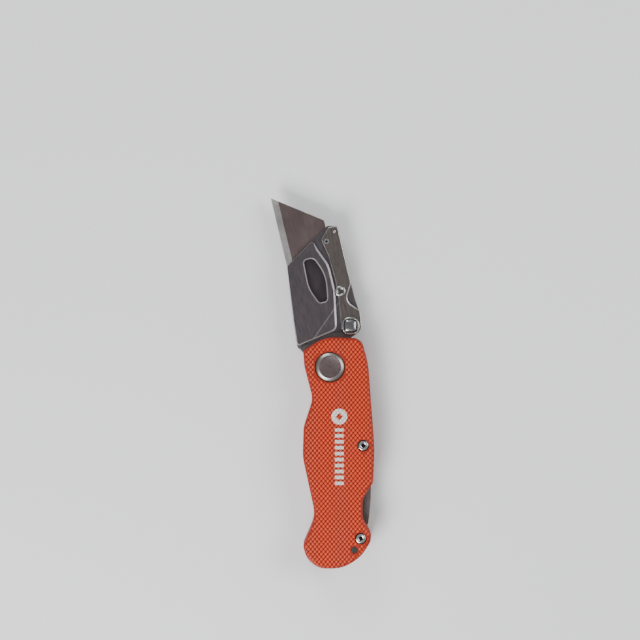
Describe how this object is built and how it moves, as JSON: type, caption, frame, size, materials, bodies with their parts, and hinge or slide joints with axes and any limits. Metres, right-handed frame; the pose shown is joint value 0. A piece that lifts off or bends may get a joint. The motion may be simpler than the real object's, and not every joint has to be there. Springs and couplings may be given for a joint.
{
  "type": "folding utility knife",
  "caption": "Folding lock-back utility knife: textured aluminium handle, pivoting steel blade carrier with a quick-change lever and a trapezoid blade.",
  "frame": {"origin": "centre of the fold pivot's flat rear head, which lies in the plane that the knife rests on", "axes": "+Y along the handle towards the blade's tip, +X towards the knife's back (the lock bar), +Z out of the front face with the lever and button"},
  "size_m": [0.042, 0.1501, 0.014],
  "materials": {
    "orange_aluminium": "orange anodised, raised diamond texture",
    "blade_steel": "ground carbon steel",
    "carrier_steel": "satin steel",
    "lever_steel": "satin steel",
    "bright_steel": "polished nickel",
    "dark_steel": "dark oxide",
    "spring_steel": "tempered",
    "bronze": "plain bronze"
  },
  "bodies": {
    "handle": {"rear_scale": "orange_aluminium", "front_scale": "orange_aluminium", "pivot_barrel": "bright_steel", "pivot_screw": "bright_steel", "lock_pin_barrel": "bright_steel", "lock_pin_screw": "bright_steel", "butt_barrel": "bright_steel", "butt_screw": "bright_steel", "butt_pin": "dark_steel", "butt_spacer": "dark_steel", "lock_spring": "spring_steel", "rear_washer": "bronze", "front_washer": "bronze"},
    "lock_bar": {"lock_bar": "dark_steel"},
    "carrier": {"carrier_body": "carrier_steel", "carrier_cover": "carrier_steel", "cover_rivet_1": "bright_steel", "cover_rivet_2": "bright_steel", "cover_rivet_3": "bright_steel", "blade": "blade_steel", "lever_rivet": "bright_steel", "lever_spring": "spring_steel"},
    "lever": {"release_lever": "lever_steel", "latch_pin": "bright_steel", "thumb_button": "bright_steel"}
  },
  "joints": [
    {"name": "carrier_fold", "type": "hinge", "parent": "handle", "child": "carrier", "pos_m": [0, 0, 0.007], "axis": [0, 0, 1], "range_deg": [0, 163]},
    {"name": "lock_release", "type": "hinge", "parent": "handle", "child": "lock_bar", "pos_m": [0.0135, -0.0317, 0.007], "axis": [0, 0, 1], "range_deg": [0, 2], "stiffness_Nm_per_rad": 0.4, "springref_deg": 17.19},
    {"name": "lever_release", "type": "hinge", "parent": "carrier", "child": "lever", "pos_m": [0.00424, 0.03072, 0.0088], "axis": [0, 0, -1], "range_deg": [0, 5.5], "stiffness_Nm_per_rad": 0.02, "springref_deg": -17.19}
  ]
}
